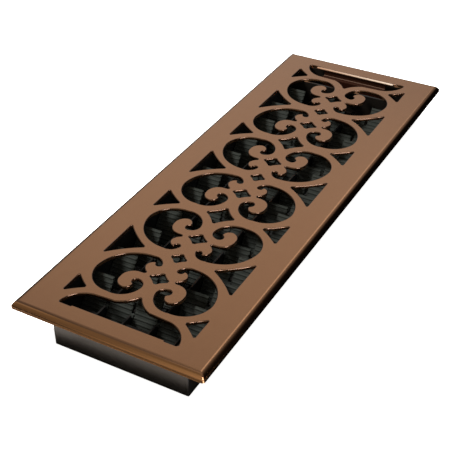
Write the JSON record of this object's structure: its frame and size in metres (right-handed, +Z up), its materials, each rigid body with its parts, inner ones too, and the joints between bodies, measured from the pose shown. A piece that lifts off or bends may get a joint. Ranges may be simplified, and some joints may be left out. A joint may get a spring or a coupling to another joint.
{
  "type": "floor register",
  "caption": "Drop-in floor register: scrollwork steel faceplate with a rounded rim over a moulded damper box, with tilting louvres that a sliding thumb lever opens and closes.",
  "frame": {"origin": "middle of the damper box's underside", "axes": "+Z up through the faceplate, +Y along the length towards the thumb lever, +X across"},
  "size_m": [0.134, 0.381, 0.0371],
  "materials": {
    "plate_finish": "satin brown copper coating on pressed steel",
    "box_plastic": "black satin moulded plastic",
    "louvre_plastic": "dark grey moulded plastic",
    "tie_plastic": "dark grey moulded plastic",
    "lever_plating": "bright copper plating on folded steel",
    "rivet_steel": "plain steel",
    "clip_steel": "zinc-plated sheet"
  },
  "bodies": {
    "register": {"faceplate": "plate_finish", "damper_box": "box_plastic", "box_clips": "clip_steel"},
    "slider": {"tie_bar": "tie_plastic", "lever": "lever_plating", "lever_rivets": "rivet_steel"},
    "louvre_01_body": {"louvre_01": "louvre_plastic"},
    "louvre_02_body": {"louvre_02": "louvre_plastic"},
    "louvre_03_body": {"louvre_03": "louvre_plastic"},
    "louvre_04_body": {"louvre_04": "louvre_plastic"},
    "louvre_05_body": {"louvre_05": "louvre_plastic"},
    "louvre_06_body": {"louvre_06": "louvre_plastic"},
    "louvre_07_body": {"louvre_07": "louvre_plastic"},
    "louvre_08_body": {"louvre_08": "louvre_plastic"},
    "louvre_09_body": {"louvre_09": "louvre_plastic"},
    "louvre_10_body": {"louvre_10": "louvre_plastic"},
    "louvre_11_body": {"louvre_11": "louvre_plastic"}
  },
  "joints": [
    {"name": "damper_slide", "type": "slide", "parent": "register", "child": "slider", "axis": [0, -1, 0], "range_m": [0, 0.00711]},
    {"name": "louvre_01_tilt", "type": "hinge", "parent": "register", "child": "louvre_01_body", "pos_m": [0, -0.147, 0.01541], "axis": [1, 0, 0], "range_deg": [-50.05, 0.05]},
    {"name": "louvre_02_tilt", "type": "hinge", "parent": "register", "child": "louvre_02_body", "pos_m": [0, -0.1195, 0.01541], "axis": [1, 0, 0], "range_deg": [-50.05, 0.05]},
    {"name": "louvre_03_tilt", "type": "hinge", "parent": "register", "child": "louvre_03_body", "pos_m": [0, -0.092, 0.01541], "axis": [1, 0, 0], "range_deg": [-50.05, 0.05]},
    {"name": "louvre_04_tilt", "type": "hinge", "parent": "register", "child": "louvre_04_body", "pos_m": [0, -0.0645, 0.01541], "axis": [1, 0, 0], "range_deg": [-50.05, 0.05]},
    {"name": "louvre_05_tilt", "type": "hinge", "parent": "register", "child": "louvre_05_body", "pos_m": [0, -0.037, 0.01541], "axis": [1, 0, 0], "range_deg": [-50.05, 0.05]},
    {"name": "louvre_06_tilt", "type": "hinge", "parent": "register", "child": "louvre_06_body", "pos_m": [0, -0.0095, 0.01541], "axis": [1, 0, 0], "range_deg": [-50.05, 0.05]},
    {"name": "louvre_07_tilt", "type": "hinge", "parent": "register", "child": "louvre_07_body", "pos_m": [0, 0.018, 0.01541], "axis": [1, 0, 0], "range_deg": [-50.05, 0.05]},
    {"name": "louvre_08_tilt", "type": "hinge", "parent": "register", "child": "louvre_08_body", "pos_m": [0, 0.0455, 0.01541], "axis": [1, 0, 0], "range_deg": [-50.05, 0.05]},
    {"name": "louvre_09_tilt", "type": "hinge", "parent": "register", "child": "louvre_09_body", "pos_m": [0, 0.073, 0.01541], "axis": [1, 0, 0], "range_deg": [-50.05, 0.05]},
    {"name": "louvre_10_tilt", "type": "hinge", "parent": "register", "child": "louvre_10_body", "pos_m": [0, 0.1005, 0.01541], "axis": [1, 0, 0], "range_deg": [-50.05, 0.05]},
    {"name": "louvre_11_tilt", "type": "hinge", "parent": "register", "child": "louvre_11_body", "pos_m": [0, 0.128, 0.01541], "axis": [1, 0, 0], "range_deg": [-50.05, 0.05]}
  ],
  "couplings": [
    {"joint": "louvre_01_tilt", "follows": "damper_slide", "rad_per_m": -122.66},
    {"joint": "louvre_02_tilt", "follows": "damper_slide", "rad_per_m": -122.66},
    {"joint": "louvre_03_tilt", "follows": "damper_slide", "rad_per_m": -122.66},
    {"joint": "louvre_04_tilt", "follows": "damper_slide", "rad_per_m": -122.66},
    {"joint": "louvre_05_tilt", "follows": "damper_slide", "rad_per_m": -122.66},
    {"joint": "louvre_06_tilt", "follows": "damper_slide", "rad_per_m": -122.66},
    {"joint": "louvre_07_tilt", "follows": "damper_slide", "rad_per_m": -122.66},
    {"joint": "louvre_08_tilt", "follows": "damper_slide", "rad_per_m": -122.66},
    {"joint": "louvre_09_tilt", "follows": "damper_slide", "rad_per_m": -122.66},
    {"joint": "louvre_10_tilt", "follows": "damper_slide", "rad_per_m": -122.66},
    {"joint": "louvre_11_tilt", "follows": "damper_slide", "rad_per_m": -122.66}
  ]
}
